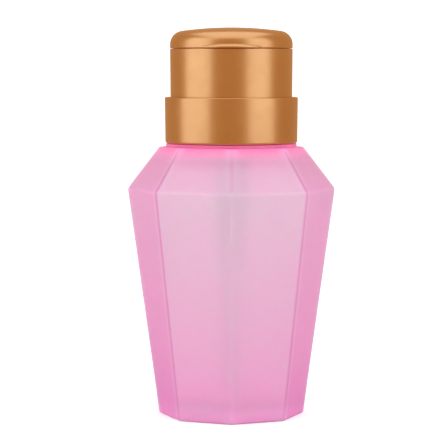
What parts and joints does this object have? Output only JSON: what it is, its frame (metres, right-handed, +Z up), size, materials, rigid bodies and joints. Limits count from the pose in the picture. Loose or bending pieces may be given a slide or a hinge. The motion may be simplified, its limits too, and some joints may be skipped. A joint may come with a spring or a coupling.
{
  "type": "press-top dispenser bottle",
  "caption": "Faceted frosted bottle with a screw closure, a press-down pump head with a dish for a cotton pad, and a hinged flip lid with a thumb tab.",
  "frame": {"origin": "centre of the foot, on the surface that the bottle stands on", "axes": "+Z up along the bottle's axis; the lid's thumb tab faces -Y and its hinge faces +Y"},
  "size_m": [0.0702, 0.0702, 0.1305],
  "materials": {
    "frosted_pink": "frosted translucent pink plastic",
    "satin_gold": "plastic with a satin gold metallised coat",
    "natural_plastic": "moulded, uncoloured",
    "seal": "soft, off-white",
    "steel": "polished stainless steel"
  },
  "bodies": {
    "bottle": {"bottle": "frosted_pink"},
    "gasket": {"neck_gasket": "seal"},
    "pump": {"pump_housing": "natural_plastic", "stem_guide": "natural_plastic", "stem_wiper": "seal", "ball_cage": "natural_plastic", "dip_tube": "natural_plastic", "return_spring": "steel"},
    "collar": {"collar_shell": "satin_gold", "screw_cap": "natural_plastic"},
    "head": {"press_sleeve": "satin_gold", "press_dish": "natural_plastic", "outlet_nozzle": "natural_plastic", "stem": "natural_plastic", "piston": "seal", "hinge_pin": "steel"},
    "lid": {"flip_lid": "satin_gold", "lid_seal": "seal"},
    "inlet_valve": {"inlet_ball": "steel"},
    "outlet_valve": {"outlet_ball": "steel"}
  },
  "joints": [
    {"name": "pump_lift", "type": "slide", "parent": "bottle", "child": "gasket", "axis": [0, 0, 1], "range_m": [0, 0.11]},
    {"name": "closure_rise", "type": "slide", "parent": "gasket", "child": "pump", "axis": [0, 0, 1], "range_m": [0, 0.00529]},
    {"name": "collar_turn", "type": "hinge", "parent": "pump", "child": "collar", "pos_m": [0, 0, 0.0985], "axis": [0, 0, 1], "range_deg": [0, 450]},
    {"name": "press", "type": "slide", "parent": "pump", "child": "head", "axis": [0, 0, 1], "range_m": [-0.01, 0], "stiffness_N_per_m": 400, "springref_m": 0.01, "deforming": ["return_spring"]},
    {"name": "lid_flip", "type": "hinge", "parent": "head", "child": "lid", "pos_m": [0, 0.0196, 0.1243], "axis": [-1, 0, 0], "range_deg": [0, 115]},
    {"name": "inlet_ball_lift", "type": "slide", "parent": "pump", "child": "inlet_valve", "axis": [0, 0, 1], "range_m": [0, 0.0012]},
    {"name": "outlet_ball_lift", "type": "slide", "parent": "head", "child": "outlet_valve", "axis": [0, 0, 1], "range_m": [0, 0.0008]}
  ],
  "couplings": [
    {"joint": "closure_rise", "follows": "collar_turn", "m_per_rad": 0.00067322}
  ]
}
